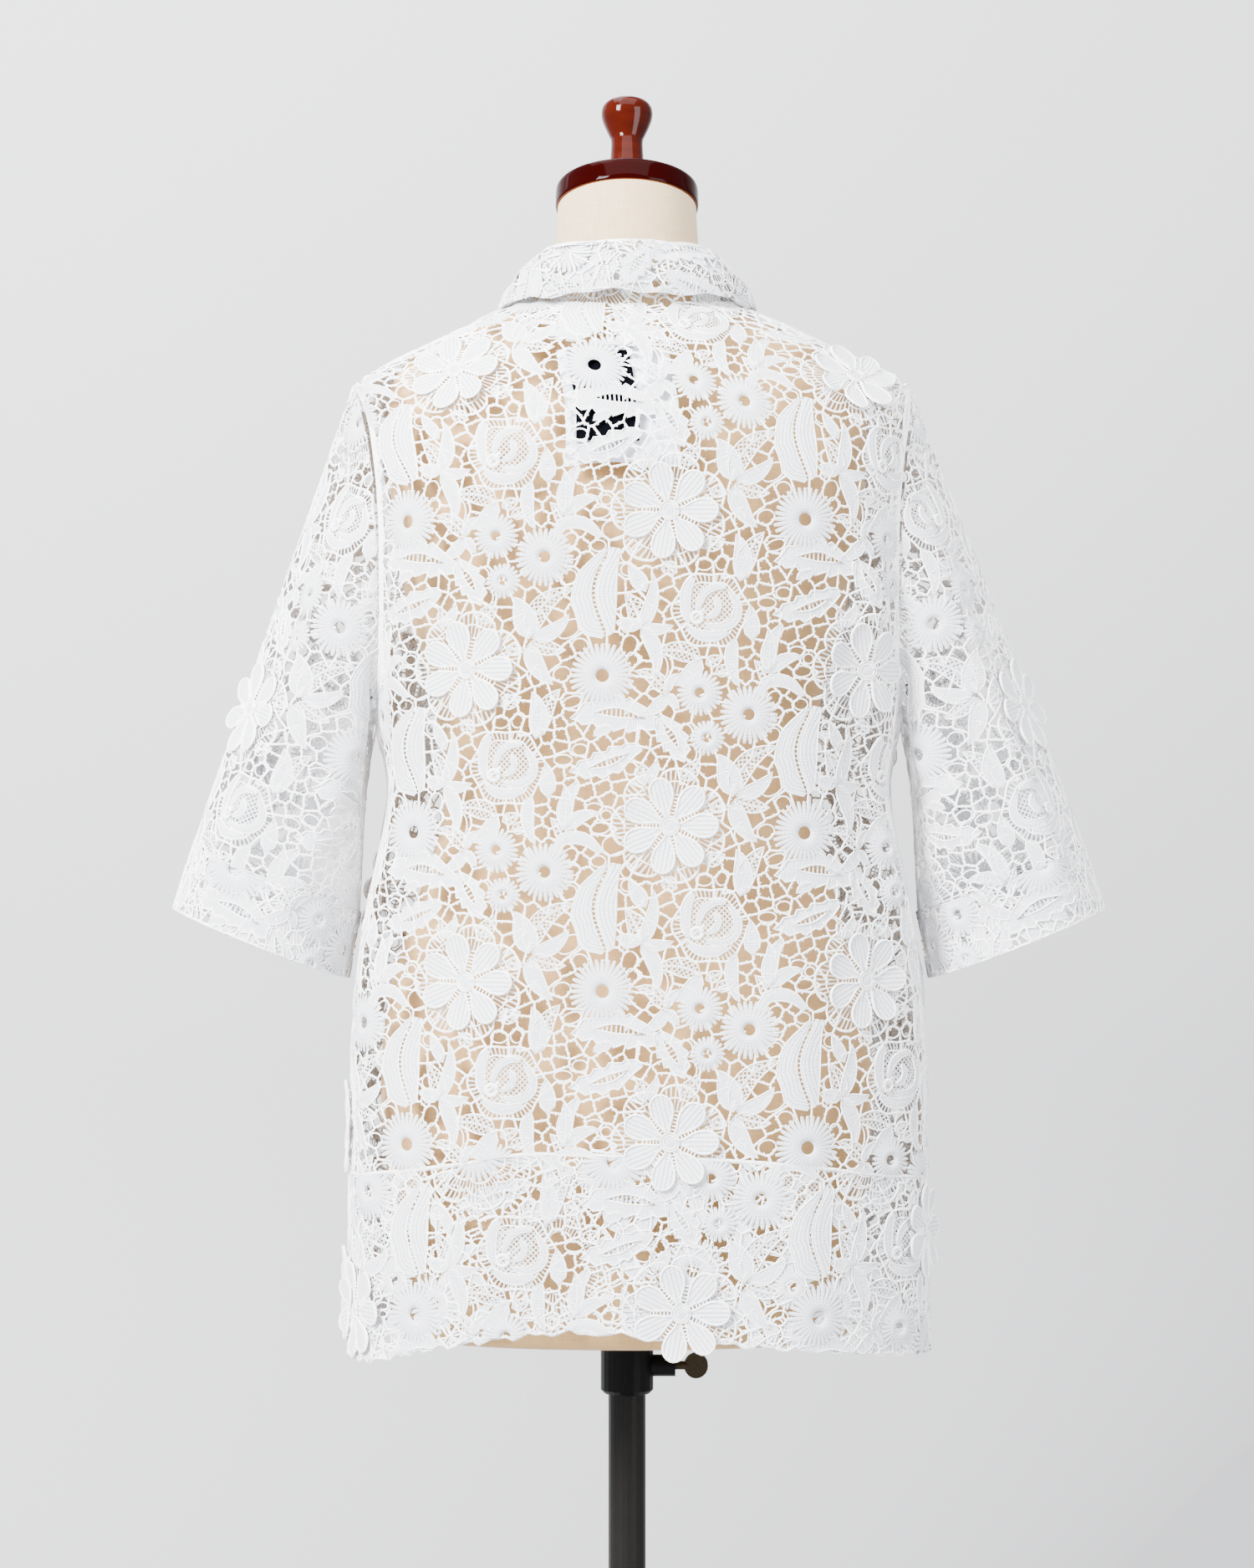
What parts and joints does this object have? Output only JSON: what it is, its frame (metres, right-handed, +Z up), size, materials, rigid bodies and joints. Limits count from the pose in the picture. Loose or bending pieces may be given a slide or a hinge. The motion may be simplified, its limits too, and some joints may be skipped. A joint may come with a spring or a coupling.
{
  "type": "lace shirt on a dress form",
  "caption": "Short-sleeved button-front shirt of white floral guipure lace with a turned-down collar, worn on a limbless linen dress form on a pole stand with a round base.",
  "frame": {"origin": "on the floor at the middle of the round base, under the pole", "axes": "+Z up along the pole; the shirt's back faces +Y and its front -Y; the wearer's left is +X"},
  "size_m": [0.635, 0.34, 1.6032],
  "materials": {
    "lace": "white guipure lace of matt cotton thread",
    "button": "glossy white",
    "label": "bare black woven label",
    "label_backing": "white lining cloth",
    "linen": "plain woven linen",
    "cap": "dark red-brown wood, glossy varnish",
    "knob": "dark red-brown wood, glossy varnish",
    "socket": "black, satin",
    "screw": "darkened bronze",
    "pole": "charcoal, satin",
    "base": "charcoal, satin"
  },
  "bodies": {
    "stand": {"base_plate": "base", "pole": "pole"},
    "form": {"back": "lace", "front_left": "lace", "front_right": "lace", "sleeve_left_back": "lace", "sleeve_left_front": "lace", "sleeve_right_back": "lace", "sleeve_right_front": "lace", "cuff_left": "lace", "cuff_right": "lace", "hem_back": "lace", "hem_left": "lace", "hem_right": "lace", "collar_stand": "lace", "collar_fall": "lace", "placket": "lace", "button_1": "button", "button_2": "button", "button_3": "button", "button_4": "button", "button_5": "button", "button_6": "button", "neck_label": "label", "label_backing": "label_backing", "torso": "linen", "neck_cap": "cap", "cap_knob": "knob", "socket": "socket"},
    "screw": {"clamp_screw": "screw"}
  },
  "joints": [
    {"name": "height", "type": "slide", "parent": "stand", "child": "form", "axis": [0, 0, 1], "range_m": [-0.12, 0.2]},
    {"name": "clamp_screw", "type": "hinge", "parent": "form", "child": "screw", "pos_m": [-0.0388, 0, 0.7358], "axis": [-1, 0, 0], "continuous": true}
  ]
}
